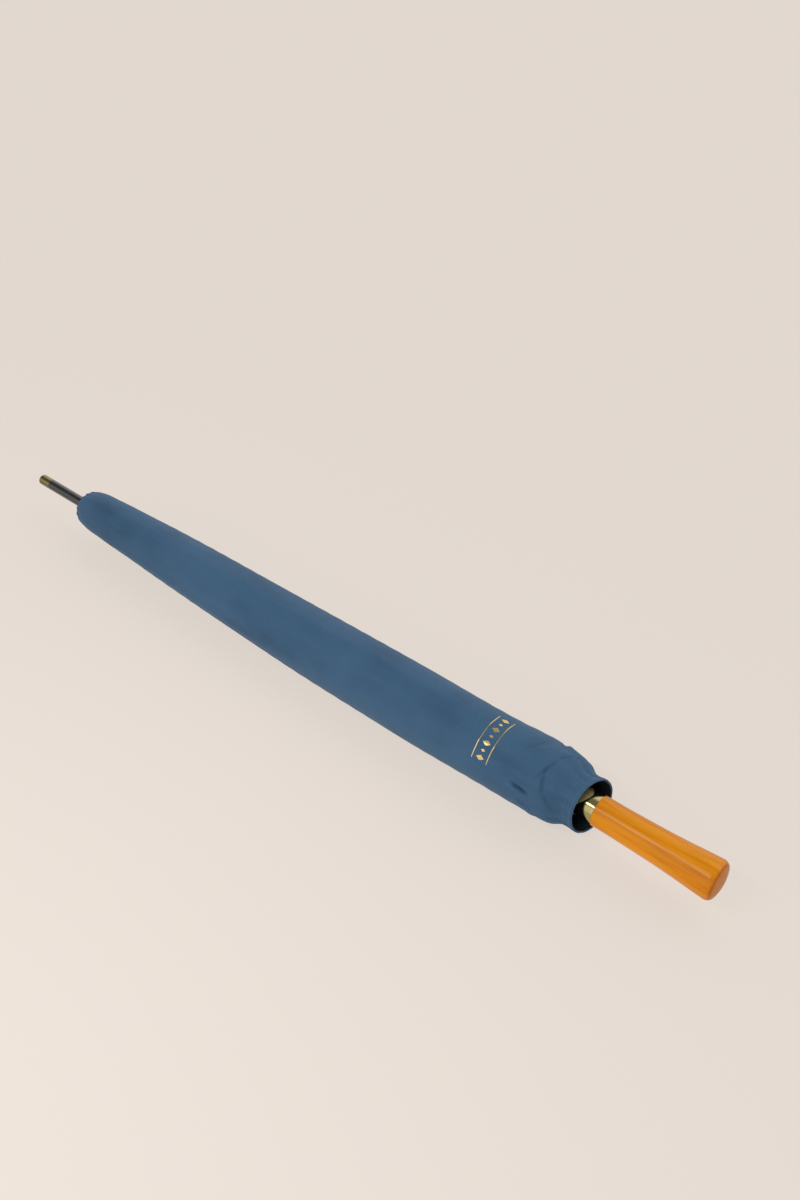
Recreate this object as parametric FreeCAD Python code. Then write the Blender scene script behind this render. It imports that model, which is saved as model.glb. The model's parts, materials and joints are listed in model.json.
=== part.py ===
import FreeCAD, Part
import math
import os
from FreeCAD import Vector

# Golf umbrella, closed and sleeved, lying on its side. Millimetres.
# Everything is built round the shaft's axis, which runs along X with the tip at -X and the
# handle at +X, and is lifted by axisHeight when it is exported, so that Z = 0 is the ground.

# ---- driving sizes ---------------------------------------------------------------------
tipCapLength = 20.0
tipRadius = 6.5
tipRounding = 2.2
tipSocketDepth = 8.0
tipSocketWall = 2.0
ferruleLength = 74.0            # rod between the tip cap and the canopy cap
ferruleStep = 0.5               # the rod is this much thinner from the sleeve's end inwards
ferruleSpigot = 32.0            # how far the rod goes into the shaft
canopyCapLength = 6.0
canopyCapRadius = 11.5
canopyCapNose = 1.5             # front ring round the rod
canopyCapSlope = 2.5            # length of the slope behind it
canopyCapStep = 0.8             # the slope ends this far below the rim
canopyCapBand = 1.5             # length of the rim

shaftRadius = 7.0
shaftWall = 0.8

crownLength = 21.0
crownRadius = 12.5
crownPivotInset = 7.0           # rib pivots, from the crown's open end

ribCount = 8
pivotRadius = 11.0              # rib and stretcher pivots, from the shaft's axis
stretcherLength = 313.5         # also the distance from a rib's pivot to its stretcher pivot
ribReach = 24.0                 # ribs end this far past the runner's pivots when shut
ribWidth = 3.4
ribHeight = 2.8
ribWall = 0.6
ribLift = 0.8                   # underside of the rib above its pivot line
ribChannelStart = 10.0
ribNeckLength = 6.0             # where the arm runs on inside the channel
ribArmLift = 0.2                # underside of the arm, above the pivot line
ribNeckLift = 1.0
eyeFill = 0.55                  # eye's radius, as a share of the pivots' height over the shaft
eyeThickness = 2.0
wireRadius = 0.5
jointPinRadius = 0.8
jointPinHead = 0.3              # stands out of the rib on each side
stretcherWidth = 1.8
stretcherFill = 0.6             # height, as a share of the room between shaft and pivots
stretcherDrop = 0.5             # top of the stretcher below its pivot line
stretcherEyeRadius = 1.7
ribTipRadius = 2.9
ribTipLength = 10.5
ribTipGrip = 3.5

runnerHeadBack = 5.0            # head, on the tip side of its pivots
runnerHeadFront = 6.0
runnerHeadGap = 0.3             # between the head and the ribs that lie over it
runnerTubeLength = 68.0         # from the pivots to the tube's handle end
runnerTubeGap = 0.9             # between the tube and the rib tips
runnerSeat = 84.5               # from the runner's pivots to the handle's wood
openAngle = 72.0                # each rib's swing, closed to open

skirtLength = 18.0              # part of the skirt that grips the runner's tube
skirtFlare = 7.0
skirtRadius = 14.4
skirtNeckWall = 0.9
skirtNeckLength = 3.0
skirtShoulder = 1.0             # rounding of the bell's back, across and along
skirtShoulderRun = 2.0
collarShort = 7.8               # collar length at the two dips of its rim
collarLong = 19.2               # and at its two peaks
collarGap = 0.7                 # between collar and skirt

handleLength = 124.5
handleNeckRadius = 15.2
handleBellRadius = 19.4
handleShoulder = 9.5            # rounded end, along the axis
handleDome = 2.4
handleFaceInset = 4.4           # butt face's edge, in from the bell
handleRoundShare = 0.62         # middle of the rounded end: its place along
handleRoundDrop = 0.95          # and its depth below the bell
handleSeamChamfer = 0.5
shaftInHandle = 55.0

catchArm = 20.0                 # pivot to the root of the tooth
catchWidth = 3.0
catchDepth = 1.2                # half the height of its arm
catchBossRadius = 1.9
toothRun = 7.0                  # length of the tooth's slope
toothTip = 2.0
upperToothGap = 1.0             # upper tooth, past the open runner
catchPivotHeight = 3.0
catchPress = 9.0                # degrees, from standing out to flush with the shaft
catchToothRadius = 9.6          # tooth's top, from the shaft's axis
catchPinRadius = 0.8
catchSetback = 38.0             # lower tooth, from the runner's pivots
stopPinRadius = 1.5
stopPinReach = 2.0              # stands out of the shaft on each side
stopPinSetback = 1.8            # from the open runner's head

pleatInnerLift = 0.5            # cloth above the ribs
pleatRadiusCrown = 20.5
pleatRadiusHem = 30.5
pleatWallCrown = 3.0
pleatWallHem = 7.5
pleatGapDegrees = 3.0
pleatShort = 5.0                # cloth ends this far before the end of a rib
strapWidth = 22.0
strapThickness = 0.9
strapPlace = 505.0              # from the rib pivots
snapRadius = 4.5
snapThickness = 1.0
snapSink = 1.0                  # depth below the strap before it is trimmed to it

sleeveWall = 1.0
sleeveEndGap = 4.0              # sleeve's small end, before the canopy cap
sleeveMouthSetback = 7.5        # sleeve's mouth, from the handle's wood
sleeveFlat = 1.5                # how deep the ground flattens the sleeve
hemLength = 12.0
hemWall = 1.8
hemRadius = 28.0
bindingRadius = 9.6
bindingLength = 3.0

# ---- clearances ------------------------------------------------------------------------
slideGap = 0.15                 # runner on the shaft
slotGap = 0.2                   # each side of an eye in its slot
slotReach = 1.4                 # slot's end, past the eye
pinGap = 0.05                   # running fit of a pin in an eye
softGap = 0.6                   # cloth to whatever is beside it
catchSideGap = 0.4              # each side of a catch in its slot
catchSlotRun = 9.0              # slot, behind the tooth's slope
catchSlotFront = 1.2            # and in front of its steep face
windowSideGap = 0.9             # runner's window round the tooth: each side,
windowBack = 1.0                # behind
windowFront = 1.0               # and in front
cutOver = 2.0                   # cutters run this far past what they cut
saddleReach = 60.0              # far end of the saddle-shaped cutter
tolerance = 0.01

# ---- places along the axis -------------------------------------------------------------
crownPivotSetback = crownLength - crownPivotInset
ribLength = 2 * stretcherLength + ribReach
overallLength = (tipCapLength + ferruleLength + canopyCapLength + crownPivotSetback
                 + 2 * stretcherLength + runnerSeat + handleLength)
xTip = -overallLength / 2
xFerrule = xTip + tipCapLength
xCanopyCap = xFerrule + ferruleLength
xCrown = xCanopyCap + canopyCapLength
xNotch = xCrown + crownPivotSetback
xRunner = xNotch + 2 * stretcherLength
xSeam = xRunner + runnerSeat
xButt = xSeam + handleLength
xRunnerOpen = xNotch + 2 * stretcherLength * math.cos(math.radians(openAngle))
runnerTravel = xRunner - xRunnerOpen
xTubeEnd = xRunner + runnerTubeLength
xSkirtStart = xTubeEnd - skirtLength
xSleeve = xCanopyCap - sleeveEndGap
xMouth = xSeam - sleeveMouthSetback
xLowerTooth = xRunner + catchSetback
xTongue = xSeam - collarShort - collarGap
toothRise = catchToothRadius - catchPivotHeight
xUpperTooth = xTongue - runnerTravel + upperToothGap
boreRadius = shaftRadius - shaftWall
eyeRadius = eyeFill * (pivotRadius - shaftRadius)
stretcherHeight = stretcherFill * (pivotRadius - stretcherDrop - shaftRadius)
runnerHeadRadius = pivotRadius + ribLift - runnerHeadGap
runnerTubeRadius = pivotRadius + ribLift + ribHeight / 2 - ribTipRadius - runnerTubeGap
ribTopRadius = pivotRadius + ribLift + ribHeight
xPleatStart = xNotch + ribChannelStart
xPleatEnd = xNotch + ribLength - pleatShort
axisX = Vector(1, 0, 0)
axisY = Vector(0, 1, 0)
origin = Vector(0, 0, 0)


# ---- small tools -----------------------------------------------------------------------
def rod(x0, x1, radius):
    return Part.makeCylinder(radius, x1 - x0, Vector(x0, 0, 0), axisX)


def tube(x0, x1, outer, inner):
    return rod(x0, x1, outer).cut(rod(x0 - cutOver, x1 + cutOver, inner))


def block(x0, x1, y0, y1, z0, z1):
    return Part.makeBox(x1 - x0, y1 - y0, z1 - z0, Vector(x0, y0, z0))


def crossPin(x, z, radius, halfLength):
    return Part.makeCylinder(radius, 2 * halfLength, Vector(x, -halfLength, z), axisY)


def ring(x, radius, wire):
    return Part.makeTorus(radius, wire, Vector(x, 0, 0), axisX)


def turned(points, degrees=360.0):
    """Solid of revolution about the axis, from (x, radius) points joined by straight lines."""
    corners = [Vector(x, 0, r) for x, r in points]
    face = Part.Face(Part.makePolygon(corners + corners[:1]))
    return face.revolve(origin, axisX, -degrees)


def atAzimuth(shape, degrees):
    """Turns a shape built over +Z to another azimuth, counted from +Z towards +Y."""
    copy = shape.copy()
    copy.rotate(origin, axisX, -degrees)
    return copy


def azimuth(index):
    return (index + 0.5) * 360.0 / ribCount


def save(name, shape):
    placed = shape.copy()
    placed.translate(Vector(0, 0, axisHeight))
    placed.exportStep("parts/" + name + ".step")


# ---- sleeve outline --------------------------------------------------------------------
def pleatRadius(x):
    share = (x - xPleatStart) / (xPleatEnd - xPleatStart)
    return pleatRadiusCrown + share * (pleatRadiusHem - pleatRadiusCrown)


# (distance from the small end, radius): the gathered, rounded end
gatherStations = [(0.0, 11.0), (1.0, 15.0), (3.5, 18.6), (8.0, 21.0), (14.0, 22.6)]
# (share of the way along the pleats, slack over the pleats, sag below the axis)
bodyStations = [(0.02, 5.2, 0.0), (0.12, 6.5, 0.4), (0.26, 8.0, 1.6), (0.41, 8.8, 3.2),
                (0.55, 8.8, 4.0), (0.70, 8.1, 3.3), (0.84, 7.1, 2.6), (0.93, 5.8, 1.0),
                (1.0, 5.5, -1.2), (1.035, 4.2, -1.4)]
# (distance before the hem, radius, sag): the drawn-in mouth
mouthStations = [(12.0, 32.4, -0.8), (4.0, 28.4, -0.3), (0.0, 27.2, 0.0)]


def sleeveStations():
    """(x, radius, sag) of the sleeve's outer skin, from its small end to its hem."""
    rows = [(xSleeve + d, r, 0.0) for d, r in gatherStations]
    for share, slack, sag in bodyStations:
        x = xPleatStart + share * (xPleatEnd - xPleatStart)
        rows.append((x, pleatRadius(x) + slack, sag))
    rows += [(xMouth - hemLength - d, r, sag) for d, r, sag in mouthStations]
    return rows


axisHeight = max(r + sag for _, r, sag in sleeveStations()) - sleeveFlat


def sleeveSkin(inset):
    """Solid bounded by the sleeve's skin, moved inwards by inset and cut flat at the ground."""
    wires = []
    for x, r, sag in sleeveStations():
        circle = Part.makeCircle(r - inset, Vector(x, 0, -sag), axisX)
        wires.append(Part.Wire(circle))
    skin = Part.makeLoft(wires, True, True)
    reach = 2 * pleatRadiusHem
    ground = block(xSleeve - cutOver, xMouth + cutOver, -reach, reach, -2 * reach, inset - axisHeight)
    return skin.cut(ground)


# ---- tip and shaft ---------------------------------------------------------------------
def makeTipCap():
    cap = rod(xTip, xFerrule, tipRadius)
    rim = [e for e in cap.Edges if abs(e.BoundBox.XMax - xTip) < tolerance and len(e.Vertexes) == 1]
    cap = cap.makeFillet(tipRounding, rim)
    return cap.cut(rod(xFerrule - tipSocketDepth, xFerrule + cutOver, tipRadius - tipSocketWall))


def makeFerrule():
    stub = rod(xFerrule - tipSocketDepth, xFerrule, tipRadius - tipSocketWall)
    shown = rod(xFerrule, xSleeve - cutOver, tipRadius)
    hidden = rod(xSleeve - cutOver, xCrown, tipRadius - ferruleStep)
    spigot = rod(xCrown, xCrown + ferruleSpigot, boreRadius)
    return stub.fuse([shown, hidden, spigot]).removeSplitter()


def makeCanopyCap():
    bore = tipRadius - ferruleStep
    rim = canopyCapRadius
    return turned([(xCanopyCap, bore), (xCanopyCap, tipRadius + canopyCapNose),
                   (xCanopyCap + canopyCapSlope, rim - canopyCapStep), (xCrown - canopyCapBand, rim),
                   (xCrown, rim), (xCrown, bore)])


def catchSlot(tooth, way):
    """Slot in the shaft for a catch; way is +1 where the tooth's steep face looks to +X."""
    ends = sorted([tooth - way * (toothRun + catchSlotRun), tooth + way * catchSlotFront])
    half = catchWidth / 2 + catchSideGap
    return block(ends[0], ends[1], -half, half, 0, shaftRadius + cutOver)


def catchPivotX(tooth, way):
    return tooth - way * (catchArm + toothTip)


def makeShaft():
    shaft = tube(xCrown, xSeam + shaftInHandle, shaftRadius, boreRadius)
    for tooth, way in catches.values():
        shaft = shaft.cut(catchSlot(tooth, way))
        x = catchPivotX(tooth, way)
        shaft = shaft.cut(crossPin(x, catchPivotHeight, catchPinRadius, shaftRadius + cutOver))
    return shaft.cut(crossPin(xStopPin, 0, stopPinRadius, shaftRadius + cutOver))


def makeCatch(tooth, way):
    """Lever in the shaft's bore. Its tooth is pressed in flush, so that the runner passes over it;
    let go, it turns back by catchPress and stands out of the slot."""
    outline = [(0, -catchDepth), (catchArm + toothTip, -catchDepth), (catchArm + toothTip, toothRise),
               (catchArm + toothTip - toothRun, catchDepth), (0, catchDepth)]
    pivot = catchPivotX(tooth, way)
    corners = [Vector(pivot + way * x, -catchWidth / 2, catchPivotHeight + z) for x, z in outline]
    lever = Part.Face(Part.makePolygon(corners + corners[:1])).extrude(Vector(0, catchWidth, 0))
    boss = crossPin(pivot, catchPivotHeight, catchBossRadius, catchWidth / 2)
    hole = crossPin(pivot, catchPivotHeight, catchPinRadius + pinGap, catchWidth)
    catch = lever.fuse(boss).removeSplitter().cut(hole)
    catch.rotate(Vector(pivot, 0, catchPivotHeight), axisY, way * catchPress)
    return catch


def makeCatchPins():
    half = math.sqrt(shaftRadius ** 2 - (catchPivotHeight + catchPinRadius) ** 2) - slideGap
    pins = [crossPin(catchPivotX(tooth, way), catchPivotHeight, catchPinRadius, half)
            for tooth, way in catches.values()]
    return Part.makeCompound(pins)


# ---- crown, runner and frame -----------------------------------------------------------
def slottedHub(x0, x1, radius, bore, xPivot, openSide):
    """Hub with one slot per rib and a groove for the wire; openSide is +1 where slots run out at +X."""
    hub = tube(x0, x1, radius, bore)
    half = eyeThickness / 2 + slotGap
    reach = eyeRadius + slotReach
    ends = sorted([xPivot - openSide * reach, xPivot + openSide * (x1 - x0)])
    floor = pivotRadius - stretcherDrop - stretcherHeight - 2 * slotGap
    slot = block(ends[0], ends[1], -half, half, floor, radius + cutOver)
    cutters = [atAzimuth(slot, azimuth(i)) for i in range(ribCount)]
    grooveRadius = wireRadius + pinGap
    groove = tube(xPivot - grooveRadius, xPivot + grooveRadius, radius + cutOver,
                  pivotRadius - grooveRadius)
    return hub.cut(Part.makeCompound(cutters)).cut(groove)


def makeCrown():
    return slottedHub(xCrown, xCrown + crownLength, crownRadius, shaftRadius, xNotch, 1)


def runnerWindow():
    half = catchWidth / 2 + windowSideGap
    return block(xLowerTooth - toothRun - windowBack, xLowerTooth + windowFront, -half, half,
                 0, runnerHeadRadius)


def makeRunner():
    bore = shaftRadius + slideGap
    head = slottedHub(xRunner - runnerHeadBack, xRunner + runnerHeadFront, runnerHeadRadius, bore,
                      xRunner, -1)
    body = tube(xRunner + runnerHeadFront, xTubeEnd, runnerTubeRadius, bore)
    return head.fuse(body).removeSplitter().cut(runnerWindow())


def saddle(xDip, side):
    """Everything on one side of the saddle-shaped rim, whose dips are over and under the axis at
    xDip. The rim is a parabola seen from above, so one quadratic curve gives it exactly."""
    rise = (collarLong - collarShort) / skirtRadius ** 2
    half = skirtRadius + cutOver
    depth = rise * half ** 2
    curve = Part.BezierCurve()
    curve.setPoles([Vector(xDip - depth, -half, 0), Vector(xDip + depth, 0, 0),
                    Vector(xDip - depth, half, 0)])
    far = xDip + side * saddleReach
    lines = Part.makePolygon([Vector(xDip - depth, half, 0), Vector(far, half, 0),
                              Vector(far, -half, 0), Vector(xDip - depth, -half, 0)])
    face = Part.Face(Part.Wire([curve.toShape()] + lines.Edges))
    prism = face.extrude(Vector(0, 0, 2 * half))
    prism.translate(Vector(0, 0, -half))
    return prism


def makeSkirt():
    neck = runnerTubeRadius + skirtNeckWall
    bore = shaftRadius + 2 * slideGap
    bell = turned([(xSkirtStart, runnerTubeRadius), (xSkirtStart, neck),
                   (xSkirtStart + skirtNeckLength, neck),
                   (xSkirtStart + skirtFlare, skirtRadius - skirtShoulder),
                   (xSkirtStart + skirtFlare + skirtShoulderRun, skirtRadius),
                   (xSeam, skirtRadius), (xSeam, bore), (xTubeEnd, bore), (xTubeEnd, runnerTubeRadius)])
    return bell.cut(saddle(xTongue, 1))


def makeCollar():
    collar = tube(xSeam - collarLong - cutOver, xSeam, skirtRadius, shaftRadius)
    return collar.common(saddle(xTongue + collarGap, 1))


def makeRib():
    inner = ribWidth / 2 - ribWall
    low = pivotRadius + ribLift
    channel = block(xNotch + ribChannelStart, xNotch + ribLength, -ribWidth / 2, ribWidth / 2,
                    low, low + ribHeight)
    groove = block(xNotch + ribChannelStart - cutOver, xNotch + ribLength + cutOver, -inner, inner,
                   low - cutOver, low + ribHeight - ribWall)
    half = eyeThickness / 2
    eye = crossPin(xNotch, pivotRadius, eyeRadius, half)
    neckEnd = xNotch + ribChannelStart + ribNeckLength
    arm = block(xNotch, neckEnd, -half, half, pivotRadius + ribArmLift, pivotRadius + eyeRadius)
    neck = block(xNotch + ribChannelStart, neckEnd, -half, half, pivotRadius + ribNeckLift,
                  low + ribHeight - ribWall / 2)
    xJoint = xNotch + stretcherLength
    pad = crossPin(xJoint, pivotRadius, eyeRadius, ribWidth / 2)
    web = block(xJoint - eyeRadius, xJoint + eyeRadius, -ribWidth / 2, ribWidth / 2,
                pivotRadius, low + ribWall)
    reach = eyeRadius + cutOver
    between = block(xJoint - reach, xJoint + reach, -inner, inner, 0, low + ribHeight - ribWall)
    ears = pad.fuse(web).cut(between)
    rib = channel.cut(groove).fuse([eye, arm, neck, ears]).removeSplitter()
    rib = rib.cut(crossPin(xNotch, pivotRadius, wireRadius + pinGap, ribWidth))
    return rib.cut(crossPin(xJoint, pivotRadius, jointPinRadius, ribWidth))


def makeJointPin():
    return crossPin(xNotch + stretcherLength, pivotRadius, jointPinRadius, ribWidth / 2 + jointPinHead)


def makeStretcher():
    x0 = xNotch + stretcherLength
    top = pivotRadius - stretcherDrop
    half = stretcherWidth / 2
    bar = block(x0, xRunner, -half, half, top - stretcherHeight, top)
    parts = [crossPin(x, pivotRadius, stretcherEyeRadius, half) for x in (x0, xRunner)]
    parts += [crossPin(x, top - stretcherHeight / 2, stretcherHeight / 2, half) for x in (x0, xRunner)]
    bar = bar.fuse(parts).removeSplitter()
    bar = bar.cut(crossPin(x0, pivotRadius, jointPinRadius + pinGap, ribWidth))
    return bar.cut(crossPin(xRunner, pivotRadius, wireRadius + pinGap, ribWidth))


def makeRibTip():
    z = pivotRadius + ribLift + ribHeight / 2
    x0 = xNotch + ribLength - ribTipGrip
    x1 = x0 + ribTipLength - ribTipRadius
    body = Part.makeCylinder(ribTipRadius, x1 - x0, Vector(x0, 0, z), axisX)
    body = body.fuse(Part.makeSphere(ribTipRadius, Vector(x1, 0, z))).removeSplitter()
    low = pivotRadius + ribLift
    half = ribWidth / 2
    return body.cut(block(x0 - cutOver, xNotch + ribLength, -half, half, low, low + ribHeight))


# ---- cloth -----------------------------------------------------------------------------
def makeGore():
    """One folded gore as a plain pleat: a slice of a tapering ring, over the gap after a rib."""
    spread = 360.0 / ribCount - pleatGapDegrees
    inner = ribTopRadius + pleatInnerLift
    hemInner = max(inner, pleatRadiusHem - pleatWallHem)
    crownInner = max(inner, pleatRadiusCrown - pleatWallCrown)
    profile = [(xPleatStart, crownInner), (xPleatStart, pleatRadiusCrown),
               (xPleatEnd, pleatRadiusHem), (xPleatEnd, hemInner)]
    return atAzimuth(turned(profile, spread), pleatGapDegrees / 2)


def strapRadius():
    return pleatRadius(xNotch + strapPlace + strapWidth) + softGap


def makeStrap():
    x = xNotch + strapPlace
    return tube(x, x + strapWidth, strapRadius() + strapThickness, strapRadius())


def makeSnap():
    x = xNotch + strapPlace + strapWidth / 2
    base = strapRadius() + strapThickness
    snap = Part.makeCylinder(snapRadius, snapThickness + snapSink, Vector(x, 0, base - snapSink))
    return snap.cut(rod(x - strapWidth, x + strapWidth, base))


def makeSleeve():
    skin = sleeveSkin(0).cut(sleeveSkin(sleeveWall))
    floorX = xSleeve + sleeveWall
    closing = sleeveSkin(0).common(rod(xSleeve - cutOver, floorX, pleatRadiusHem))
    hole = rod(xSleeve - cutOver, floorX + cutOver, bindingRadius)
    return skin.fuse(closing).removeSplitter().cut(hole)


def makeHem():
    x0 = xMouth - hemLength
    startRadius = mouthStations[-1][1]
    return turned([(x0, startRadius), (xMouth, hemRadius), (xMouth, hemRadius - hemWall),
                   (x0, startRadius - hemWall)])


def makeBinding():
    return tube(xSleeve, xSleeve + bindingLength, bindingRadius, tipRadius + softGap)


# ---- handle ----------------------------------------------------------------------------
def makeHandle():
    c = handleSeamChamfer
    neck = handleNeckRadius
    bell = handleBellRadius
    # (distance from the wood's seam, radius)
    flare = [(c, neck), (29.0, neck + 0.15), (47.0, neck + 0.6), (64.0, neck + 1.1),
             (81.5, neck + 1.95), (98.0, neck + 3.1), (handleLength - handleShoulder, bell)]
    points = [Vector(xSeam + d, 0, r) for d, r in flare]
    side = Part.BSplineCurve()
    side.interpolate(points)
    xShoulder = points[-1].x
    xDome = xButt - handleDome
    start = points[-1]
    middle = Vector(xShoulder + handleRoundShare * (xDome - xShoulder), 0, bell - handleRoundDrop)
    end = Vector(xDome, 0, bell - handleFaceInset)
    shoulder = Part.Arc(start, middle, end)
    domeRadius = (end.z ** 2 + handleDome ** 2) / (2 * handleDome)
    domeHalf = Vector(xButt - domeRadius + math.sqrt(domeRadius ** 2 - (end.z / 2) ** 2), 0, end.z / 2)
    dome = Part.Arc(end, domeHalf, Vector(xButt, 0, 0))
    back = Part.makePolygon([Vector(xButt, 0, 0), Vector(xSeam, 0, 0), Vector(xSeam, 0, neck - c),
                             Vector(xSeam + c, 0, neck)])
    wire = Part.Wire([side.toShape(), shoulder.toShape(), dome.toShape()] + back.Edges)
    wood = Part.Face(wire).revolve(origin, axisX, 360)
    return wood.cut(rod(xSeam - cutOver, xSeam + shaftInHandle, shaftRadius))


catches = {"bottom_catch": (xLowerTooth, 1), "top_catch": (xUpperTooth, -1)}
xStopPin = xRunnerOpen - runnerHeadBack - stopPinRadius - stopPinSetback

os.makedirs("parts", exist_ok=True)

save("tip_cap", makeTipCap())
save("ferrule", makeFerrule())
save("canopy_cap", makeCanopyCap())
save("shaft", makeShaft())
save("crown", makeCrown())
save("crown_wire", ring(xNotch, pivotRadius, wireRadius))
save("stop_pin", crossPin(xStopPin, 0, stopPinRadius, shaftRadius + stopPinReach))
save("catch_pins", makeCatchPins())
for catchName, (toothX, facing) in catches.items():
    save(catchName, makeCatch(toothX, facing))
save("runner", makeRunner())
save("runner_skirt", makeSkirt())
save("runner_wire", ring(xRunner, pivotRadius, wireRadius))
save("handle_collar", makeCollar())
save("handle", makeHandle())
save("sleeve", makeSleeve())
save("sleeve_hem", makeHem())
save("sleeve_end_binding", makeBinding())
save("tie_strap", atAzimuth(makeStrap(), azimuth(0)))
save("tie_strap_snap", atAzimuth(makeSnap(), azimuth(0)))

perRib = {"rib": makeRib(), "rib_tip": makeRibTip(), "joint_pin": makeJointPin(),
          "stretcher": makeStretcher(), "gore": makeGore()}
for index in range(ribCount):
    for kind, shape in perRib.items():
        save(kind + "_" + str(index + 1), atAzimuth(shape, azimuth(index)))
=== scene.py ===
import json
import math

import bpy
import numpy as np
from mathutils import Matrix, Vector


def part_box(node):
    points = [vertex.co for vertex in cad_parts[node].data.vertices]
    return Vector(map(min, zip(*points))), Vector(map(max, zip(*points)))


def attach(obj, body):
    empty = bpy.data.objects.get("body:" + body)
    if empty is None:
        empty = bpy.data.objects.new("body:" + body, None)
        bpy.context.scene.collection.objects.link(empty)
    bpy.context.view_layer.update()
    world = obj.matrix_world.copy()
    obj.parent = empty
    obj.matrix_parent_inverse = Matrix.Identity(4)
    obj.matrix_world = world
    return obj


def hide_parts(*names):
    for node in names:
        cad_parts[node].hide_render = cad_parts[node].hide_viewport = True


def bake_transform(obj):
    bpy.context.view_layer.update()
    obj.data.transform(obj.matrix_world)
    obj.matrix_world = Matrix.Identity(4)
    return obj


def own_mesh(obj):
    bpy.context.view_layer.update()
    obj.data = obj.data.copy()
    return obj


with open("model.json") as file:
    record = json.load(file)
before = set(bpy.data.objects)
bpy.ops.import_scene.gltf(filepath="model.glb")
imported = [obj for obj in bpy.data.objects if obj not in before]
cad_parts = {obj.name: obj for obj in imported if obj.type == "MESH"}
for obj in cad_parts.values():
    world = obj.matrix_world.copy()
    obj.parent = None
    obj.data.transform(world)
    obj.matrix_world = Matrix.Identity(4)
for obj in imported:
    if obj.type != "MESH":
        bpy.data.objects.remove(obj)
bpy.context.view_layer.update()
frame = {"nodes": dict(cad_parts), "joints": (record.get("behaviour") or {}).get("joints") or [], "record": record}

# Golf umbrella in its sleeve. Metres, X along the shaft towards the handle, Z up.
mm = 0.001
shaftLow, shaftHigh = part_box("shaft")
axisZ = (shaftLow[2] + shaftHigh[2]) / 2
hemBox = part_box("sleeve_hem")
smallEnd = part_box("sleeve")[0][0]
mouth = hemBox[1][0]
hemTop = hemBox[0][0]
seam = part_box("handle")[0][0]
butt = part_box("handle")[1][0]
joints = {joint["name"]: joint for joint in frame["joints"]}
notch = joints["rib_1_open"]["pos_m"][0]
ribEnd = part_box("rib_1")[1][0]
print("frame loaded, shaft axis at", round(axisZ, 4))


# small helpers
def smoothStep(a, b, x):
    t = np.clip((x - a) / (b - a), 0, 1)
    return t * t * (3 - 2 * t)


def smoothCurve(places, values, x):
    # Cubic through the given points, with the slopes of their neighbours.
    p, v = np.array(places, float), np.array(values, float)
    slope = np.gradient(v, p)
    i = np.clip(np.searchsorted(p, x) - 1, 0, len(p) - 2)
    h = p[i + 1] - p[i]
    t = np.clip((x - p[i]) / h, 0, 1)
    a = (1 + 2 * t) * (1 - t) ** 2 * v[i] + t * (1 - t) ** 2 * h * slope[i]
    return a + t * t * (3 - 2 * t) * v[i + 1] + t * t * (t - 1) * h * slope[i + 1]


def meshFrom(name, points, faces, smooth=True, uv=None):
    mesh = bpy.data.meshes.new(name)
    mesh.from_pydata([tuple(p) for p in points], [], faces)
    if uv is not None:
        layer = mesh.uv_layers.new(name="cloth")
        corners = np.array([l.vertex_index for l in mesh.loops])
        layer.data.foreach_set("uv", np.array(uv)[corners].ravel())
    mesh.polygons.foreach_set("use_smooth", [smooth] * len(mesh.polygons))
    mesh.update()
    obj = bpy.data.objects.new(name, mesh)
    bpy.context.scene.collection.objects.link(obj)
    return obj


def gridFaces(rows, columns, closeRows=False, closeColumns=False, start=0):
    faces = []
    for i in range(rows if closeRows else rows - 1):
        for j in range(columns if closeColumns else columns - 1):
            a, b = i * columns, ((i + 1) % rows) * columns
            k = (j + 1) % columns
            faces.append((start + a + j, start + a + k, start + b + k, start + b + j))
    return faces


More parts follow.
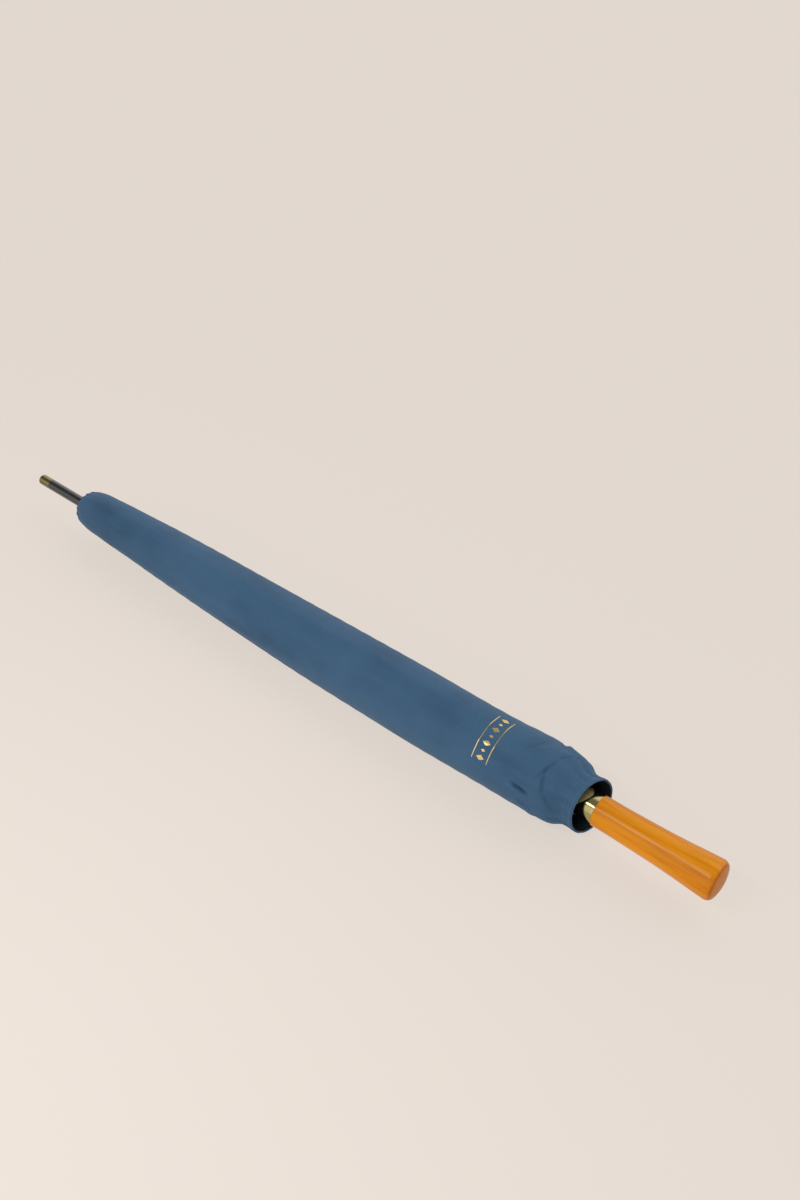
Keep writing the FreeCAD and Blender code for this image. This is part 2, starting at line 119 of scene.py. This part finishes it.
# materials
class Paint:
    # A node material being put together.

    def __init__(self, name):
        self.material = bpy.data.materials.new(name)
        self.material.use_nodes = True
        self.nodes = self.material.node_tree.nodes
        self.links = self.material.node_tree.links
        self.shader = self.nodes["Principled BSDF"]
        self.place = self.add("ShaderNodeTexCoord").outputs["Object"]

    def add(self, kind, **settings):
        node = self.nodes.new(kind)
        for key, value in settings.items():
            if hasattr(node, key):
                setattr(node, key, value)
            else:
                node.inputs[key.replace("_", " ")].default_value = value
        return node

    def link(self, a, b):
        self.links.new(a, b)

    def scaled(self, scale, source=None):
        node = self.add("ShaderNodeMapping")
        node.inputs["Scale"].default_value = scale
        self.link(source or self.place, node.inputs["Vector"])
        return node.outputs["Vector"]

    def noise(self, scale, size=(1, 1, 1), detail=4.0, source=None):
        node = self.add("ShaderNodeTexNoise")
        node.inputs["Scale"].default_value = scale
        node.inputs["Detail"].default_value = detail
        self.link(self.scaled(size, source), node.inputs["Vector"])
        return node.outputs["Fac"]

    def ramp(self, value, stops):
        node = self.add("ShaderNodeValToRGB")
        bar = node.color_ramp.elements
        for _ in stops[2:]:
            bar.new(0.5)
        for mark, (at, color) in zip(bar, stops):
            mark.position = at
            mark.color = (*color, 1)
        self.link(value, node.inputs["Fac"])
        return node.outputs["Color"]

    def span(self, value, low, high, to=(0.0, 1.0)):
        node = self.add("ShaderNodeMapRange")
        for key, number in zip(("From Min", "From Max", "To Min", "To Max"), (low, high, *to)):
            node.inputs[key].default_value = number
        self.link(value, node.inputs["Value"])
        return node.outputs["Result"]

    def mix(self, factor, a, b):
        node = self.add("ShaderNodeMix", data_type="RGBA")
        for socket, value in ((node.inputs[6], a), (node.inputs[7], b)):
            if isinstance(value, tuple):
                socket.default_value = (*value, 1)
            else:
                self.link(value, socket)
        self.link(factor, node.inputs[0])
        return node.outputs[2]

    def math(self, kind, a, b):
        node = self.add("ShaderNodeMath", operation=kind)
        for socket, value in zip(node.inputs, (a, b)):
            if isinstance(value, (int, float)):
                socket.default_value = value
            else:
                self.link(value, socket)
        return node.outputs[0]

    def along(self, axis="X"):
        node = self.add("ShaderNodeSeparateXYZ")
        self.link(self.place, node.inputs[0])
        return node.outputs[axis]

    def bump(self, height, strength, distance=0.0004):
        node = self.add("ShaderNodeBump")
        node.inputs["Strength"].default_value = strength
        node.inputs["Distance"].default_value = distance
        self.link(height, node.inputs["Height"])
        self.link(node.outputs["Normal"], self.shader.inputs["Normal"])

    def set(self, **values):
        for key, value in values.items():
            self.shader.inputs[key.replace("_", " ")].default_value = value

    def feed(self, name, source):
        self.link(source, self.shader.inputs[name])


def clothMaterial(name, look):
    # Plain weave: warp and weft waves on the cloth's own coordinates, with uneven dye.
    paint = Paint(name)
    uv = paint.add("ShaderNodeTexCoord").outputs["UV"]
    threads = []
    for direction in ("X", "Y"):
        wave = paint.add("ShaderNodeTexWave", bands_direction=direction)
        wave.inputs["Scale"].default_value = look["threadsPerMetre"] / 20
        wave.inputs["Distortion"].default_value = 0.6
        paint.link(paint.scaled((1, 1, 1), uv), wave.inputs["Vector"])
        threads.append(wave.outputs["Fac"])
    weave = paint.math("MULTIPLY", threads[0], threads[1])
    dye = paint.noise(14, detail=5)
    slub = paint.noise(60, size=(0.15, 1, 1), detail=3)
    tone = paint.ramp(dye, [(0.3, look["dark"]), (0.7, look["light"])])
    shade = paint.mix(paint.span(slub, 0.35, 0.75), tone, look["light"])
    paint.feed("Base Color", paint.mix(paint.span(weave, 0.0, 1.4, (0.0, 0.35)), shade, look["dark"]))
    paint.feed("Roughness", paint.span(slub, 0.2, 0.8, (0.55, 0.72)))
    paint.set(Sheen_Weight=look["sheen"], Sheen_Roughness=0.4, Specular_IOR_Level=0.14)
    paint.bump(paint.math("ADD", weave, paint.math("MULTIPLY", slub, 0.6)), 0.35)
    return paint.material


def woodMaterial(look):
    # Straight-grained varnished wood; the butt face is duller and its edge is darker.
    paint = Paint("varnishedWood")
    grain = paint.noise(260, size=(0.05, 1, 1), detail=8)
    bands = paint.noise(46, size=(0.1, 1, 1), detail=3)
    pores = paint.noise(900, size=(0.03, 1, 1), detail=2)
    body = paint.ramp(bands, [(0.32, look["dark"]), (0.68, look["light"])])
    body = paint.mix(paint.span(grain, 0.46, 0.7, (0.0, 0.6)), body, look["streakAndShade"])
    # painted shade: darker towards +Y, the side away from the camera, in the grain streaks' colour
    body = paint.mix(paint.span(paint.along("Y"), 2 * mm, 15 * mm, (0.0, 0.65)), body, look["streakAndShade"])
    x = paint.along()
    face = paint.span(x, butt - 3.6 * mm, butt - 2.3 * mm)
    edge = paint.math("MULTIPLY", paint.span(x, butt - 5.5 * mm, butt - 3.6 * mm),
                      paint.span(x, butt - 3.2 * mm, butt - 2.4 * mm, (1.0, 0.0)))
    body = paint.mix(edge, body, look["edge"])
    end = paint.mix(paint.span(grain, 0.4, 0.7, (0.0, 0.5)), look["face"], look["faceDark"])
    paint.feed("Base Color", paint.mix(face, body, end))
    paint.feed("Roughness", paint.span(face, 0, 1, (0.3, 0.5)))
    paint.set(Coat_Weight=0.25, Coat_Roughness=0.26, Specular_IOR_Level=0.06)
    paint.bump(pores, 0.1, 0.0002)
    return paint.material


def metalMaterial(name, color, worn, roughness, metallic=1.0, coat=0.0, streaks=(0.05, 1, 1)):
    paint = Paint(name)
    patina = paint.noise(55, detail=5)
    brushed = paint.noise(900, size=streaks, detail=2)
    paint.feed("Base Color", paint.ramp(patina, [(0.35, color), (0.75, worn)]))
    paint.feed("Roughness", paint.span(brushed, 0.2, 0.8, (roughness * 0.75, roughness * 1.35)))
    paint.set(Metallic=metallic, Coat_Weight=coat, Coat_Roughness=0.08)
    paint.bump(brushed, 0.06, 0.0001)
    return paint.material


sleeveLook = {"dark": (0.031, 0.080, 0.150), "light": (0.052, 0.121, 0.215), "threadsPerMetre": 1900,
              "sheen": 0.03}
canopyLook = {"dark": (0.020, 0.048, 0.090), "light": (0.034, 0.078, 0.138), "threadsPerMetre": 2200,
              "sheen": 0.15}
# painted shade: the inside face of the sleeve cloth is near-black, standing in for the shade inside the sleeve
shadedInsideLook = {"dark": (0.006, 0.010, 0.020), "light": (0.010, 0.018, 0.034), "threadsPerMetre": 1900,
              "sheen": 0.0}
# streakAndShade colours the grain streaks and also the painted shade along the +Y side
woodLook = {"dark": (0.60, 0.185, 0.003), "light": (0.78, 0.29, 0.004), "streakAndShade": (0.46, 0.12, 0.002),
            "edge": (0.40, 0.10, 0.006), "face": (0.50, 0.18, 0.035), "faceDark": (0.38, 0.12, 0.020)}

slotMaterials = {
    "polished_brass": metalMaterial("polishedBrass", (0.46, 0.40, 0.18), (0.36, 0.30, 0.12), 0.12),
    "black_enamel": metalMaterial("blackEnamel", (0.006, 0.006, 0.007), (0.012, 0.012, 0.012), 0.18,
                                  metallic=0.0, coat=0.3),
    "black_steel": metalMaterial("blackSteel", (0.06, 0.06, 0.065), (0.10, 0.10, 0.10), 0.4),
    "black_nylon": metalMaterial("blackNylon", (0.02, 0.02, 0.02), (0.03, 0.03, 0.03), 0.5, 0.0),
    "bright_wire": metalMaterial("brightWire", (0.62, 0.62, 0.60), (0.5, 0.5, 0.48), 0.28),
    "varnished_wood": woodMaterial(woodLook),
    "sleeve_cloth": clothMaterial("sleeveCloth", sleeveLook),
    "canopy_cloth": clothMaterial("canopyCloth", canopyLook),
}
# runner skirt: rougher brass whose lighter colour is painted light, so it shows bright in the shade of the
# sleeve's mouth
satinBrassPaintedLight = metalMaterial("satinBrassPaintedLight", (0.80, 0.70, 0.34), (0.66, 0.55, 0.24), 0.45)
# tip cap: a darker copy of the brass, painted shade that makes it olive
shadedBrass = metalMaterial("shadedBrass", (0.22, 0.18, 0.075), (0.15, 0.12, 0.05), 0.2)
goldFoil = metalMaterial("goldFoil", (0.72, 0.55, 0.22), (0.52, 0.38, 0.14), 0.34)
shadedInside = clothMaterial("sleeveInsideShade", shadedInsideLook)
thread = metalMaterial("sewingThread", (0.09, 0.16, 0.24), (0.12, 0.2, 0.3), 0.7, 0.0)
ownFinish = {"runner_skirt": satinBrassPaintedLight, "tip_cap": shadedBrass}
slotOf = {part["node"]: part["material_slot"] for part in frame["record"]["subparts"]}
for nodeName, nodeObject in frame["nodes"].items():
    nodeObject.data.materials.clear()
    finish = ownFinish.get(nodeName, slotMaterials[slotOf[nodeName]])
    nodeObject.data.materials.append(finish)
print("materials made")


# sleeve
sleeve = {
    "around": 320,
    "cloth": 0.9 * mm,
    "hemExtra": 0.55 * mm,
    "hole": 7.6 * mm,           # radius of the small end's hole
    "stitches": 96,             # in each line of the hem
    "stitchLines": (1.8 * mm, 9.2 * mm),
    "stitchThick": 0.26 * mm,
    "clothRadius": 33,          # mm, to lay wrinkles out flat
    "gathers": 17,
    # mm from the small end, radius in mm, sag in mm
    "outline": [(0, 11.4, 0), (1, 15.2, 0), (3.5, 18.8, 0), (8, 21.2, 0), (14, 22.8, 0), (47, 25.7, 0),
                (111, 28.0, 0.4), (200, 31.0, 1.6), (296, 33.2, 3.2), (385, 34.9, 4.0), (480, 35.6, 3.3),
                (569, 35.9, 2.6), (626, 35.6, 1.0), (670, 36.0, -1.2), (692, 34.9, -1.4),
                (704, 32.6, -0.8), (712, 27.8, -0.3), (716, 26.5, 0), (728, 27.2, 0)],
    "tiltToEye": 12.0,
    "tiltAcross": 2.5,
    "eyeSide": -38.0,
    # where round the sleeve, degrees; turn along it; width in degrees; depth mm; from and to, mm
    "folds": [(-20, 14, 11, 0.9, 30, 520), (-66, -12, 13, 1.1, 80, 640), (8, -18, 12, 0.8, 200, 690),
              (-100, 10, 12, 1.0, 20, 420), (42, 12, 14, 0.9, 60, 600), (95, -14, 15, 1.2, 40, 660),
              (150, 10, 16, 1.2, 90, 640), (-140, 8, 14, 1.0, 60, 600), (-44, 6, 7, 0.7, 420, 700)],
    # creases that gather into the hem: where, width, depth mm, length mm
    "creases": [(-112, 5.0, 2.6, 46), (-92, 4, 1.2, 40), (-54, 4, 0.8, 30), (-27, 5, 1.0, 44),
                (2, 5, 0.9, 36), (27, 6, 1.3, 52), (58, 6, 1.5, 60), (98, 6, 1.3, 48),
                (131, 7, 1.7, 66), (171, 6, 1.2, 50), (-146, 6, 1.5, 56)],
    # slanting wrinkles: where, mm from the hem, run round and along, half width and depth, all mm
    "wrinkles": [(-26, 25, -11, 3, 1.7, 2.2), (-47, 21, -11, -4, 1.5, 2.6), (-76, 11, -7, -5, 1.3, 2.3),
                 (-73, 42, 1.2, 9, 1.3, 4.6), (-100, 34, 3, 8, 1.8, 2.6), (-12, 52, -15, 9, 2.8, 1.1),
                 (14, 19, -9, 4, 1.6, 1.8), (38, 34, -10, -6, 2.2, 1.5), (76, 24, 12, 5, 2.0, 1.3),
                 (112, 30, -11, 6, 2.2, 1.2), (150, 22, 10, -5, 2.0, 1.3), (-132, 26, 10, 6, 2.2, 1.3)],
}
outlineX = [smallEnd + a * mm for a, _, _ in sleeve["outline"]]
outlineR = [b * mm for _, b, _ in sleeve["outline"]]
outlineSag = [c * mm for _, _, c in sleeve["outline"]]


def turnedBy(theta, place):
    # Angle from place, in degrees, between -180 and 180.
    return (np.degrees(theta) - place + 180) % 360 - 180


def sleeveFolds(x, theta):
    # How far the cloth stands in or out of its plain outline.
    along = (x - smallEnd) / mm
    total = np.zeros_like(x * theta)
    for place, turn, width, depth, start, end in sleeve["folds"]:
        at = turnedBy(theta, place + turn * along / 700)
        window = smoothStep(start, start + 90, along) * (1 - smoothStep(end - 90, end, along))
        total += depth * mm * window * np.exp(-(at / width) ** 2)
    toHem = (hemTop - x) / mm
    for place, width, depth, length in sleeve["creases"]:
        fade = (1 - smoothStep(0, length, toHem)) * smoothStep(-16, 2, toHem)
        at = turnedBy(theta, place + 0.06 * toHem)
        spread = width * (1 + np.clip(toHem, 0, None) / 60)
        total += mm * depth * fade * (0.45 * np.exp(-((np.abs(at) - 1.5 * spread) / spread) ** 2)
                                      - np.exp(-(at / spread) ** 2))
    for place, back, around, run, width, depth in sleeve["wrinkles"]:
        # distances round and along from the wrinkle's middle, turned to lie along and across it
        s = np.radians(turnedBy(theta, place)) * sleeve["clothRadius"]
        t = toHem - back
        long = math.hypot(around, run)
        a = (s * around + t * run) / long
        b = (t * around - s * run) / long
        ends = np.exp(-(a / long) ** 4) * smoothStep(-3, 3, toHem)
        total += mm * depth * ends * (0.5 * np.exp(-((b - 1.9 * width) / (1.3 * width)) ** 2)
                                      - np.exp(-(b / width) ** 2))
    pull = np.exp(-along / 13)
    total += 0.75 * mm * pull * np.cos(sleeve["gathers"] * theta + 0.5 * np.sin(3 * theta))
    ripple = np.sin(31 * x / 0.1 + 2.2 * np.sin(2 * theta)) * np.sin(5 * theta + 14 * x)
    return total + 0.16 * mm * ripple * smoothStep(10, 90, along)


def sleevePoint(x, theta, lift=0.0):
    # A point of the sleeve's cloth; lift moves it off the outer face.
    radius = smoothCurve(outlineX, outlineR, x) + sleeveFolds(x, theta) + lift
    sag = smoothCurve(outlineX, outlineSag, x)
    y, z = radius * np.sin(theta), radius * np.cos(theta)
    eye = math.radians(sleeve["eyeSide"])
    toEye = y * math.sin(eye) + z * math.cos(eye)
    across = y * math.cos(eye) - z * math.sin(eye)
    tilt = (across * math.tan(math.radians(sleeve["tiltAcross"]))
            - toEye * math.tan(math.radians(sleeve["tiltToEye"])))
    lean = smoothStep(mouth - 110 * mm, mouth - 6 * mm, x)
    return np.stack(np.broadcast_arrays(x + tilt * lean, y, np.maximum(axisZ + z - sag, 0.3 * mm)), -1)


def makeSleeve():
    theta = np.linspace(0, 2 * np.pi, sleeve["around"], endpoint=False)
    # rows are closer together at both ends
    bodyX = np.concatenate([np.linspace(smallEnd, smallEnd + 40 * mm, 34),
                            np.linspace(smallEnd + 44 * mm, hemTop - 90 * mm, 130),
                            np.linspace(hemTop - 88 * mm, mouth, 74)])
    inHem = smoothStep(hemTop - 0.8 * mm, hemTop + 0.3 * mm, bodyX)
    stitchLine = np.exp(-((bodyX - hemTop - 1.8 * mm) / (0.5 * mm)) ** 2)
    outer = [sleevePoint(np.full_like(theta, x), theta, sleeve["hemExtra"] * h - 0.35 * mm * s)
             for x, h, s in zip(bodyX, inHem, stitchLine)]
    inner = [sleevePoint(np.full_like(theta, x), theta, -sleeve["cloth"] * (1 + 0.6 * h))
             for x, h in zip(bodyX, inHem)]
    lip = (outer[-1] + inner[-1]) / 2
    lip[:, 0] += 0.5 * mm
    neck = []
    # places along and distances out from the hole's edge, in mm
    for x, beyond in ((0.4, 2.0), (0.2, 0.8), (1.2, 0.1), (3.0, 0.0)):
        wave = 0.4 * mm * np.cos(sleeve["gathers"] * theta)
        r = sleeve["hole"] + beyond * mm + wave * beyond / 2
        neck.append(np.stack([np.full_like(theta, smallEnd + x * mm), r * np.sin(theta),
                              axisZ + r * np.cos(theta)], -1))
    rows = neck[::-1] + outer + [lip] + inner[::-1]
    points = np.concatenate(rows)
    steps = np.linalg.norm(np.diff(np.array(rows)[:, 0], axis=0), axis=1)
    length = np.concatenate([[0], np.cumsum(steps)])
    uv = [(s, t * 34 * mm) for s in length for t in theta]
    obj = meshFrom("sleeveCloth", points,
                   gridFaces(len(rows), len(theta), closeRows=True, closeColumns=True), uv=uv)
    obj.data.materials.append(slotMaterials["sleeve_cloth"])
    obj.data.materials.append(shadedInside)
    # faces on the inside of the sleeve take the near-black painted shade
    inside = (len(neck) + len(outer) + 1) * len(theta)
    for face in obj.data.polygons:
        face.material_index = 1 if min(face.vertices) >= inside else 0
    return obj


def makeStitches():
    # Short threads in the hem's stitch groove.
    count, points, faces = sleeve["stitches"], [], []
    for line in sleeve["stitchLines"]:
        for i in range(count):
            a = np.linspace(i, i + 0.62, 5) * 2 * np.pi / count
            for j, t in enumerate(a):
                thick = sleeve["stitchThick"] * math.sin(math.pi * (0.12 + 0.19 * j))
                for k in range(6):
                    turn = k * math.pi / 3
                    at = sleevePoint(np.array(hemTop + line + thick * math.cos(turn)), np.array(t),
                                     sleeve["hemExtra"] + thick * math.sin(turn))
                    points.append(at)
            start = len(points) - 30
            faces += gridFaces(5, 6, closeColumns=True, start=start)
            faces += [tuple(range(start, start + 6))[::-1], tuple(range(start + 24, start + 30))]
    obj = meshFrom("hemStitches", points, faces)
    obj.data.materials.append(thread)
    return obj


ornament = {
    "x": seam - 112 * mm,
    "from": -66.0,              # degrees round the sleeve
    "to": 18.0,
    "lozenges": 7,
    "tall": 4.6 * mm,
    "lineAway": 8.6 * mm,       # of each edge line, from the middle
    "lineHalf": 0.45 * mm,      # half its width
    "lift": 0.22 * mm,
}


def makeOrnament():
    # A plain printed band across the sleeve: lozenges between two lines.
    points, faces = [], []

    def patch(xs, thetas):
        start = len(points)
        for row in range(xs.shape[0]):
            points.extend(sleevePoint(xs[row], thetas[row], ornament["lift"]))
        faces.extend(gridFaces(*xs.shape, start=start))

    first, last = math.radians(ornament["from"]), math.radians(ornament["to"])
    for side in (-1, 1):
        theta = np.linspace(first, last, 70)
        x = ornament["x"] + side * ornament["lineAway"]
        edge = np.array([-1, 0, 1])[:, None] * ornament["lineHalf"]
        patch(x + edge + 0 * theta, theta + 0 * edge)
    pitch = (last - first) / ornament["lozenges"]
    for i in range(ornament["lozenges"]):
        a = np.linspace(-1, 1, 9)
        u, v = np.meshgrid(a, a)
        middle = first + (i + 0.5) * pitch
        size = 1.0 if i % 2 == 0 else 0.55
        patch(ornament["x"] + size * ornament["tall"] * (u + v) / 2,
              middle + size * 0.36 * pitch * (u - v) / 2)
    obj = meshFrom("sleeveOrnament", points, faces)
    obj.data.materials.append(goldFoil)
    return obj


sleevePieces = [makeSleeve(), makeStitches(), makeOrnament()]
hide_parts("sleeve", "sleeve_hem", "sleeve_end_binding")
for piece in sleevePieces:
    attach(piece, "sleeve")
    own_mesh(piece)
print("sleeve made")


# canopy: eight folded gores
canopy = {
    "layers": 27,               # of cloth in each folded gore
    "rows": 64,
    "stepsPerLayer": 4,
    "start": 3 * mm,            # from the rib pivots
    "end": ribEnd - notch - 5 * mm,
    "scallop": 26 * mm,         # how far the hem curves in between two ribs
    "underside": 15.2 * mm,     # lowest layer, from the shaft's axis
    "outsideCrown": 19.6 * mm,
    "outsideHem": 28.0 * mm,
    "spread": math.radians(joints["gore_1_spread"]["range_deg"][1]),
    "lastBeside": 12.6 * mm,    # the far edge, over the next rib
    "lastLift": 11.5 * mm,
}
# how far beside the open cloth's own line the next rib lies, as its pivot is round the crown
acrossCloth = np.cross(joints["gore_1_spread"]["axis"], (1, 0, 0))
pivotStep = np.subtract(joints["rib_2_open"]["pos_m"], joints["rib_1_open"]["pos_m"])
canopy["ribStep"] = float(pivotStep @ acrossCloth) * math.cos(canopy["spread"]) + 0.5 * mm


def goreLine():
    # (share of the cloth, side of the fold, height in the stack) of the points across a gore.
    layers, steps = canopy["layers"], canopy["stepsPerLayer"]
    half = layers / 2
    across, side, height = [0.0], [0.0], [0.0]
    widths = []
    for i in range(layers):
        level = i / half if i < half else (layers - i - 0.5) / half
        widths.append((level, 1.0 + 0.85 * level))
    total = sum(w for _, w in widths) - 0.5
    u, way, place = 0.0, 1, 0.0
    for i, (level, width) in enumerate(widths):
        reach = width / 2
        goal = way * reach
        for k in range(1, steps + 1):
            t = k / steps
            at = place + (goal - place) * t
            across.append((u + abs(at - place)) / total)
            side.append(at / total)
            height.append(level + (t - 0.5) * 0.02)
        u += abs(goal - place)
        place, way = goal, -way
    across = np.array(across) / across[-1]
    return across, np.array(side), np.clip(height, 0, 1)


def makeGore(k):
    share, side, level = goreLine()
    azimuth = math.radians(22.5 + 45 * (k - 1))
    out = np.array([0, math.sin(azimuth), math.cos(azimuth)])
    beside = np.array([0, math.cos(azimuth), -math.sin(azimuth)])
    v = np.linspace(0, 1, canopy["rows"])[:, None]
    reach = canopy["end"] - canopy["scallop"] * 4 * share * (1 - share)
    rho = canopy["start"] + v * (reach - canopy["start"])
    full = rho * canopy["spread"]
    offset = side * full
    top = canopy["outsideCrown"] + (canopy["outsideHem"] - canopy["outsideCrown"]) * v
    lift = canopy["underside"] + (top - canopy["underside"]) * level
    # the last stretch reaches over to the next rib
    last = smoothStep(1 - 1.2 / canopy["layers"], 1, share)
    offset = offset * (1 - last) + canopy["lastBeside"] * last
    lift = lift * (1 - last) + canopy["lastLift"] * last
    lift = lift + 0.25 * mm * np.sin(9 * v * math.pi + 5 * k + 12 * share)
    points = (np.array([notch, 0, axisZ]) + rho[..., None] * np.array([1, 0, 0])
              + offset[..., None] * beside + lift[..., None] * out).reshape(-1, 3)
    uv = np.stack([rho, share * full], -1).reshape(-1, 2)
    obj = meshFrom(f"canopyGore{k}", points, gridFaces(canopy["rows"], len(share)), uv=uv)
    obj.data.materials.append(slotMaterials["canopy_cloth"])
    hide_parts(f"gore_{k}")
    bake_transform(obj)
    return obj


for number in range(1, 9):
    makeGore(number)
print("canopy made")


# tie strap and its snap
strap = {
    "width": 22 * mm,
    "thick": 0.9 * mm,
    "around": 150,
    # share of the width, and height in thicknesses, round the strap's section
    "section": [(0, 0.3), (0.04, 0.9), (0.1, 0.65), (0.5, 0.75), (0.9, 0.65), (0.96, 0.9), (1, 0.3),
                (0.97, 0), (0.5, 0), (0.03, 0)],
    "foldedTo": 17 * mm,        # from the shaft's axis, when the frame opens
}
snap = {
    "around": 40,
    # radius and height in mm
    "rings": [(4.5, 0), (4.6, 0.5), (4.3, 0.95), (3.8, 0.8), (3.2, 0.75), (2.2, 1.05), (1.0, 1.15)],
}


def makeStrap():
    low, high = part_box("tie_strap")
    theta = np.linspace(0, 2 * np.pi, strap["around"], endpoint=False)
    radius = (high[2] - low[2]) / 2 - strap["thick"]
    rows = []
    for x, r in strap["section"]:
        wave = 0.2 * mm * np.sin(11 * theta)
        at = radius + r * strap["thick"] + wave
        rows.append(np.stack([np.full_like(theta, low[0] + x * strap["width"]), at * np.sin(theta),
                              axisZ + at * np.cos(theta)], -1))
    uv = [(i * 2 * mm, t * radius) for i in range(len(rows)) for t in theta]
    obj = meshFrom("tieStrap", np.concatenate(rows), gridFaces(len(rows), len(theta), True, True), uv=uv)
    obj.data.materials.append(slotMaterials["canopy_cloth"])
    return obj, radius


def makeSnap(radius):
    # A domed press stud with a rolled rim, on top of the strap over rib 1.
    azimuth = math.radians(22.5)
    out = np.array([0, math.sin(azimuth), math.cos(azimuth)])
    beside = np.array([0, math.cos(azimuth), -math.sin(azimuth)])
    low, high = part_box("tie_strap")
    centre = np.array([(low[0] + high[0]) / 2, 0, axisZ]) + out * (radius + strap["thick"] - 0.1 * mm)
    points, count = [], snap["around"]
    for r, h in snap["rings"]:
        for i in range(count):
            a = 2 * np.pi * i / count
            points.append(centre + mm * (r * math.cos(a) * np.array([1, 0, 0]) + r * math.sin(a) * beside
                                         + h * out))
    rings = len(snap["rings"])
    faces = gridFaces(rings, count, closeColumns=True)
    faces += [tuple(range(count))[::-1], tuple(range((rings - 1) * count, rings * count))]
    obj = meshFrom("tieStrapSnap", points, faces)
    obj.data.materials.append(slotMaterials["polished_brass"])
    return obj


strapObject, strapRadius = makeStrap()
snapObject = makeSnap(strapRadius)
for piece, node, finish in ((strapObject, "tie_strap", "canopy_cloth"),
                            (snapObject, "tie_strap_snap", "polished_brass")):
    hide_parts(node)
    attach(piece, "rib_1")
    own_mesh(piece)
print("strap made")


# floor, lights and camera
studio = {
    "sky": 1.2,
    "floorTone": (0.790, 0.716, 0.652),
    "floorGlow": 0.8,           # share of the floor's light that shadows don't take away
    "darkBand": (0.0, -0.2, 0.98),
    # name, turn in degrees, strength, how broad in degrees
    "suns": [("key", (34, 0, 138), 0.42, 70), ("soft", (30, 0, -60), 0.15, 90)],
    # name, place, length along the shaft, width, watts
    "strip": ("strip", (0.06, -0.62, 0.88), 0.5, 0.2, 8.0),
}


def makeFloor():
    paint = Paint("paleFloor")
    tone, glow = studio["floorTone"], studio["floorGlow"]
    mottle = paint.noise(3, detail=3)
    shares = [(0.3, [(1 - glow) * c * 0.99 for c in tone]), (0.7, [(1 - glow) * c for c in tone])]
    paint.feed("Base Color", paint.ramp(mottle, shares))
    paint.set(Roughness=0.9, Specular_IOR_Level=0.0, Emission_Color=(*tone, 1), Emission_Strength=glow)
    floor = meshFrom("floor", [(-30, -30, 0), (30, -30, 0), (30, 30, 0), (-30, 30, 0)], [(0, 1, 2, 3)])
    floor.data.materials.append(paint.material)


def makeSky(world):
    # Pale all round, with a dark band overhead along the shaft for the metal to mirror.
    nodes, links = world.node_tree.nodes, world.node_tree.links
    back = nodes["Background"]
    back.inputs["Strength"].default_value = studio["sky"]
    flat = nodes.new("ShaderNodeVectorMath")
    flat.operation = "MULTIPLY"
    flat.inputs[1].default_value = (0, 1, 1)
    links.new(nodes.new("ShaderNodeTexCoord").outputs["Generated"], flat.inputs[0])
    unit = nodes.new("ShaderNodeVectorMath")
    unit.operation = "NORMALIZE"
    links.new(flat.outputs["Vector"], unit.inputs[0])
    facing = nodes.new("ShaderNodeVectorMath")
    facing.operation = "DOT_PRODUCT"
    facing.inputs[1].default_value = studio["darkBand"]
    links.new(unit.outputs["Vector"], facing.inputs[0])
    shade = nodes.new("ShaderNodeValToRGB")
    for mark, (at, value) in zip(shade.color_ramp.elements, ((0.70, 1.0), (0.93, 0.16))):
        mark.position = at
        mark.color = (value, value * 0.985, value * 0.97, 1)
    links.new(facing.outputs["Value"], shade.inputs["Fac"])
    links.new(shade.outputs["Color"], back.inputs["Color"])


def makeStudio():
    scene = bpy.context.scene
    scene.view_settings.view_transform = "Standard"
    makeFloor()
    scene.world = scene.world or bpy.data.worlds.new("studio")
    scene.world.use_nodes = True
    makeSky(scene.world)
    for name, turn, strength, angle in studio["suns"]:
        light = bpy.data.lights.new(name, "SUN")
        light.energy = strength
        light.angle = math.radians(angle)
        obj = bpy.data.objects.new(name, light)
        scene.collection.objects.link(obj)
        obj.rotation_euler = [math.radians(a) for a in turn]
    name, place, long, wide, watts = studio["strip"]
    light = bpy.data.lights.new(name, "AREA")
    light.shape = "RECTANGLE"
    light.size, light.size_y = long, wide
    light.energy = watts
    obj = bpy.data.objects.new(name, light)
    scene.collection.objects.link(obj)
    obj.location = place
    obj.rotation_euler = (math.atan2(place[1], place[2]), 0, 0)
    obj.visible_camera = False


cameraLook = {
    "lens": 34.5,
    "sensorHeight": 36,
    "place": (0.6508, -0.6311, axisZ + 0.8113),
    "turn": (50.15, 0, 40.33),  # degrees
}


def makeCamera():
    lens = bpy.data.cameras.new("camera")
    lens.sensor_fit = "VERTICAL"
    lens.sensor_height = cameraLook["sensorHeight"]
    lens.lens = cameraLook["lens"]
    camera = bpy.data.objects.new("camera", lens)
    bpy.context.scene.collection.objects.link(camera)
    camera.location = cameraLook["place"]
    camera.rotation_euler = [math.radians(a) for a in cameraLook["turn"]]
    bpy.context.scene.camera = camera


makeStudio()
makeCamera()
print("studio made")
